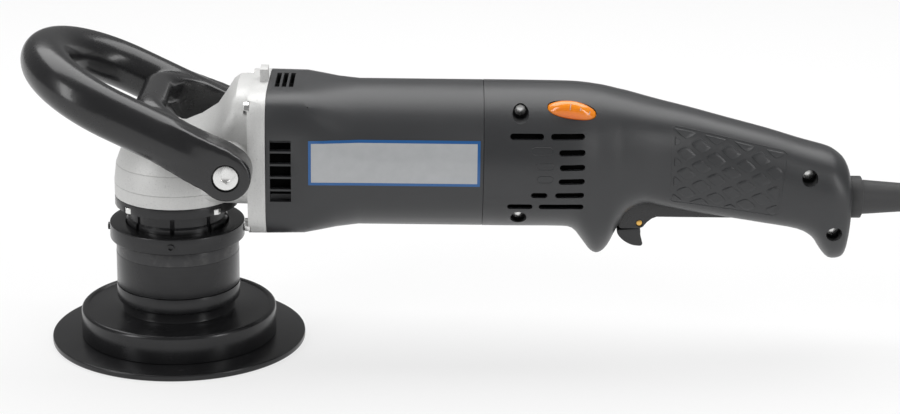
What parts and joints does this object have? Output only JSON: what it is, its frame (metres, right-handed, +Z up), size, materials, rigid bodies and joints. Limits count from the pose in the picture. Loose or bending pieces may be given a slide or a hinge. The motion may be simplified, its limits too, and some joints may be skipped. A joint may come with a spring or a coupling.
{
  "type": "edge beveling machine",
  "caption": "Hand-held edge beveling machine: round guide plate under a bevel gear head, long motor body, tilting loop handle and a rear grip with a paddle switch.",
  "frame": {"origin": "centre of the guide plate's underside, on the cutter spindle's axis", "axes": "+X along the motor towards the rear handle and the cord, +Z up the spindle's axis, +Y to the side away from the speed dial"},
  "size_m": [0.8251, 0.2318, 0.1932],
  "materials": {
    "cast_aluminium": "fine sand-cast, satin",
    "black_steel": "blackened, satin",
    "black_plastic": "moulded, semi-gloss",
    "grey_plastic": "moulded, fine grain",
    "bright_steel": "zinc plated",
    "bearing_steel": "ground",
    "copper": "turned copper bars",
    "laminations": "stacked sheet",
    "carbide": "ground",
    "brass": "bright",
    "orange_plastic": "moulded, glossy",
    "black_rubber": "matt",
    "carbon": "pressed carbon",
    "circuit_resin": "potted board"
  },
  "bodies": {
    "machine": {"gear_housing": "cast_aluminium", "bearing_flange": "black_steel", "switch_body": "black_plastic", "motor_housing": "grey_plastic", "rear_shell_near": "grey_plastic", "rear_shell_far": "grey_plastic", "flange_screw_1": "bright_steel", "flange_screw_2": "bright_steel", "flange_screw_3": "bright_steel", "flange_screw_4": "bright_steel", "housing_screw_1": "bright_steel", "housing_screw_2": "bright_steel", "housing_screw_3": "bright_steel", "housing_screw_4": "bright_steel", "handle_bolt_near": "bright_steel", "handle_bolt_far": "bright_steel", "shell_screw_upper_front": "bright_steel", "shell_screw_lower_front": "bright_steel", "shell_screw_grip": "bright_steel", "shell_screw_tail": "bright_steel", "spindle_bearing": "bearing_steel", "spindle_bush": "bearing_steel", "front_bearing": "bearing_steel", "rear_bearing": "bearing_steel", "stator": "laminations", "cord_boot": "black_rubber", "cord_lead": "black_rubber", "cord_coil": "black_rubber", "cord_tail": "black_rubber", "cord_tie": "black_rubber", "plug": "black_rubber", "brush_near": "carbon", "brush_far": "carbon", "speed_module": "circuit_resin"},
    "spindle": {"spindle": "bearing_steel", "crown_gear": "bearing_steel", "cutter_head": "black_steel", "cutter_insert_1": "carbide", "cutter_insert_2": "carbide", "cutter_insert_3": "carbide", "pilot_screw": "bright_steel"},
    "pilot": {"pilot_bearing": "bearing_steel"},
    "armature": {"armature_shaft": "bearing_steel", "armature_core": "laminations", "commutator": "copper", "fan": "black_plastic", "pinion": "bearing_steel"},
    "guide": {"clamp_ring": "black_steel", "set_screw_1": "black_steel", "set_screw_2": "black_steel", "set_screw_3": "black_steel", "set_screw_4": "black_steel", "depth_sleeve": "black_steel", "guide_bell": "black_steel", "guide_plate": "black_steel"},
    "handle": {"loop_handle": "black_plastic"},
    "paddle": {"paddle": "black_plastic", "catch_pin": "brass"},
    "catch": {"safety_catch": "black_plastic"},
    "dial": {"speed_dial": "orange_plastic"}
  },
  "joints": [
    {"name": "handle_tilt", "type": "hinge", "parent": "machine", "child": "handle", "pos_m": [0.0355, 0, 0.123], "axis": [0, 1, 0], "range_deg": [0, 60]},
    {"name": "guide_depth", "type": "slide", "parent": "machine", "child": "guide", "axis": [0, 0, 1], "range_m": [0, 0.008]},
    {"name": "armature_spin", "type": "hinge", "parent": "machine", "child": "armature", "pos_m": [0.1, 0, 0.1209], "axis": [1, 0, 0], "continuous": true},
    {"name": "spindle_spin", "type": "hinge", "parent": "machine", "child": "spindle", "pos_m": [0, 0, 0.06], "axis": [0, 0, 1], "continuous": true},
    {"name": "pilot_spin", "type": "hinge", "parent": "spindle", "child": "pilot", "pos_m": [0, 0, 0.0057], "axis": [0, 0, 1], "continuous": true},
    {"name": "paddle_squeeze", "type": "hinge", "parent": "machine", "child": "paddle", "pos_m": [0.347, 0, 0.0885], "axis": [0, 1, 0], "range_deg": [0, 4.5], "stiffness_Nm_per_rad": 1, "springref_deg": -11.46},
    {"name": "catch_swing", "type": "hinge", "parent": "paddle", "child": "catch", "pos_m": [0.2825, 0, 0.0801], "axis": [0, -1, 0], "range_deg": [0, 18], "stiffness_Nm_per_rad": 0.02, "springref_deg": -17.19},
    {"name": "dial_turn", "type": "hinge", "parent": "machine", "child": "dial", "pos_m": [0.23747, -0.01739, 0.14398], "axis": [-0.1219, -0.7927, -0.5973], "range_deg": [0, 270]}
  ],
  "couplings": [
    {"joint": "spindle_spin", "follows": "armature_spin", "ratio": 0.33333}
  ]
}
